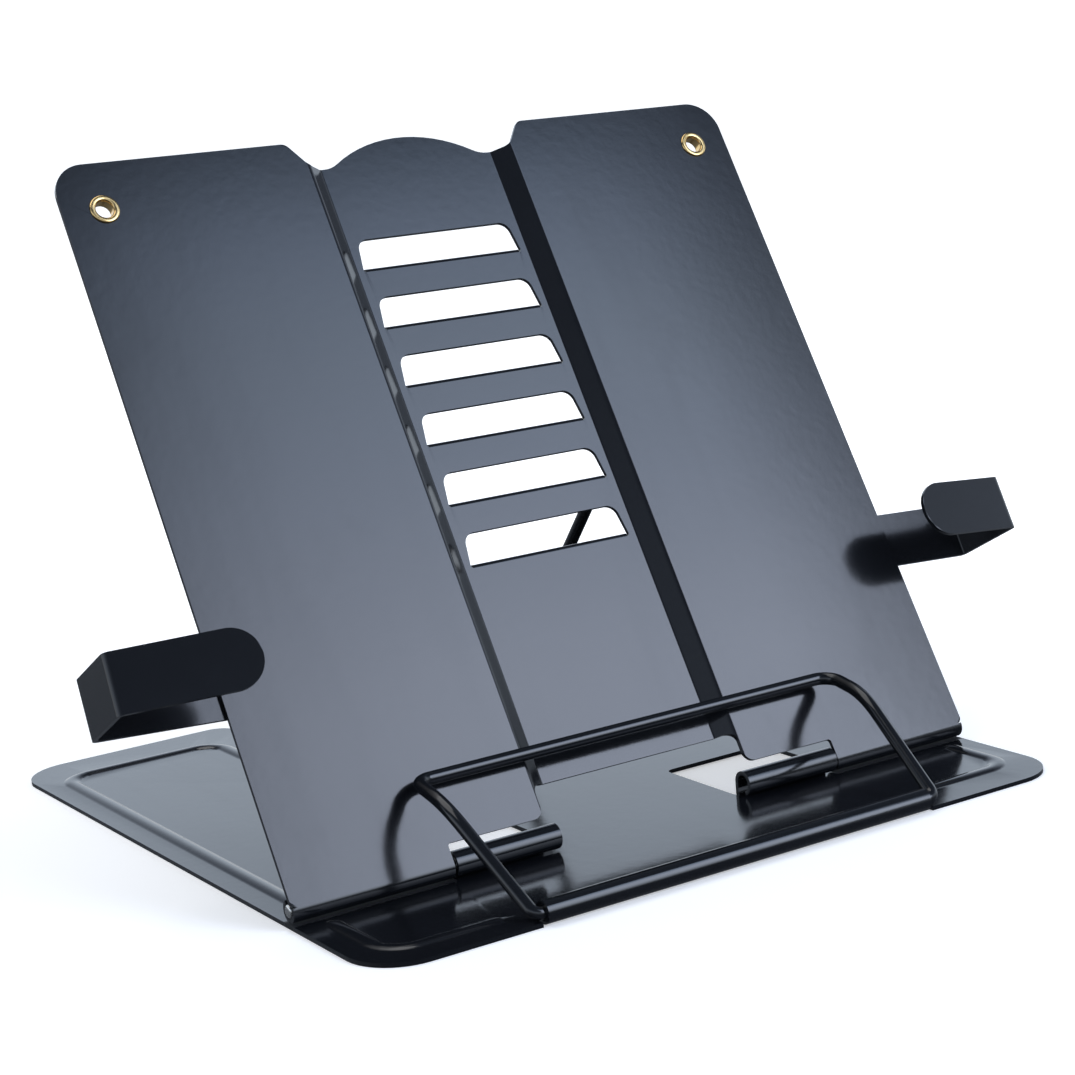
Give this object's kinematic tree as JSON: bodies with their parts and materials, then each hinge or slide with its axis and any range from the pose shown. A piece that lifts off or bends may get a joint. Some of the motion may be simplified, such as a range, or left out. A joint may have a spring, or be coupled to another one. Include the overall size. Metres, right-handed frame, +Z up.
{
  "type": "folding book stand",
  "caption": "Folding book display stand of black enamelled sheet steel: base plate, tilting ribbed back plate with a ladder of prop slots, wire prop, wire page bar and sliding page arms.",
  "frame": {"origin": "on the table plane under the hinge line, on the stand's centre plane", "axes": "+X to the reader's right, +Y to the back of the stand, +Z up"},
  "size_m": [0.2429, 0.1945, 0.1579],
  "materials": {
    "enamel": "semi-gloss black enamel",
    "enamelled_wire": "semi-gloss black enamel on wire",
    "pin_steel": "bright drawn steel",
    "eyelet_brass": "polished brass"
  },
  "bodies": {
    "base": {"base_plate": "enamel"},
    "back": {"back_plate": "enamel", "left_hinge_pin": "pin_steel", "right_hinge_pin": "pin_steel", "left_eyelet": "eyelet_brass", "right_eyelet": "eyelet_brass", "left_arm_guide": "enamel", "right_arm_guide": "enamel"},
    "prop": {"prop_wire": "enamelled_wire"},
    "bar": {"page_bar": "enamelled_wire"},
    "left_arm": {"left_page_arm": "enamel"},
    "right_arm": {"right_page_arm": "enamel"}
  },
  "joints": [
    {"name": "plate_tilt", "type": "hinge", "parent": "base", "child": "back", "pos_m": [0, 0, 0.0038], "axis": [1, 0, 0], "range_deg": [-53.2, 4.2]},
    {"name": "prop_swing", "type": "hinge", "parent": "base", "child": "prop", "pos_m": [0, 0.1012, 0.00255], "axis": [1, 0, 0], "range_deg": [-128.3, 10.2]},
    {"name": "page_bar_swing", "type": "hinge", "parent": "base", "child": "bar", "pos_m": [0, -0.03595, 0.00255], "axis": [1, 0, 0], "range_deg": [0, 140]},
    {"name": "left_arm_slide", "type": "slide", "parent": "back", "child": "left_arm", "axis": [0.9984, -0.0277, -0.0484], "range_m": [-0.013, 0.0279]},
    {"name": "right_arm_slide", "type": "slide", "parent": "back", "child": "right_arm", "axis": [0.9984, -0.0277, -0.0484], "range_m": [-0.0218, 0.0191]}
  ],
  "couplings": [
    {"joint": "prop_swing", "follows": "plate_tilt", "ratio": 2.4104}
  ]
}
